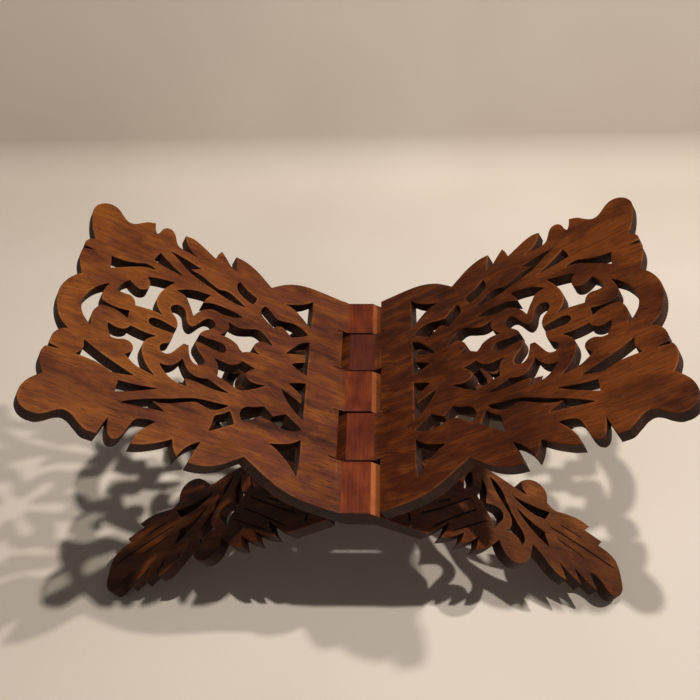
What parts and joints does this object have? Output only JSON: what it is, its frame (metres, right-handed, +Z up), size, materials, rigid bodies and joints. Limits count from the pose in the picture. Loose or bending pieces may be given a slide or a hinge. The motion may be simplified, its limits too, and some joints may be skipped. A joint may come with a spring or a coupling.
{
  "type": "folding book stand",
  "caption": "Folding carved wooden book stand: two interlocked fretwork halves pivot on wooden knuckles and open into an X.",
  "frame": {"origin": "floor level, under the middle of the stand", "axes": "+X to the reader's right across the open wings, +Y to the back along the hinge, +Z up"},
  "size_m": [0.3922, 0.2023, 0.2159],
  "materials": {
    "left_wood": "varnished, satin",
    "right_wood": "varnished, satin"
  },
  "bodies": {
    "right_half": {"right_wing_half": "right_wood"},
    "left_half": {"left_wing_half": "left_wood"}
  },
  "joints": [
    {"name": "knuckle_hinge", "type": "hinge", "parent": "right_half", "child": "left_half", "pos_m": [0, 0, 0.10553], "axis": [0, 1, 0], "range_deg": [0, 120]}
  ]
}
